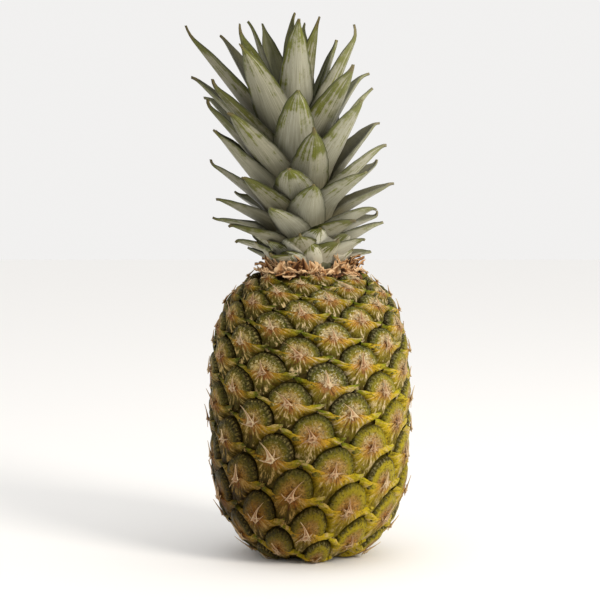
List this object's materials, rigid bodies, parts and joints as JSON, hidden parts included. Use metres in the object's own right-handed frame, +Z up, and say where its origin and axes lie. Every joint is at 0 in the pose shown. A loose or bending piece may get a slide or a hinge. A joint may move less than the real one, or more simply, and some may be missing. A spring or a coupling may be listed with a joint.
{
  "type": "pineapple",
  "caption": "Whole pineapple standing on its flat base: a barrel-shaped fruit with a spiral of raised eyes, a ring of dry bracts and a stiff leafy crown, to stand on a table, shelf or stall.",
  "frame": {"origin": "middle of the cut stalk's face, on the plane that the fruit stands on", "axes": "+Z up along the fruit towards the crown, -Y towards the side the picture shows, +X to its right"},
  "size_m": [0.134, 0.1254, 0.3163],
  "materials": {
    "rind": "satin",
    "cut_stalk": "matte",
    "dry_bract": "matte",
    "crown_leaf": "satin"
  },
  "bodies": {
    "root": {"fruit": "rind", "stalk_end": "cut_stalk", "dry_bracts": "dry_bract", "crown": "crown_leaf"}
  },
  "joints": []
}
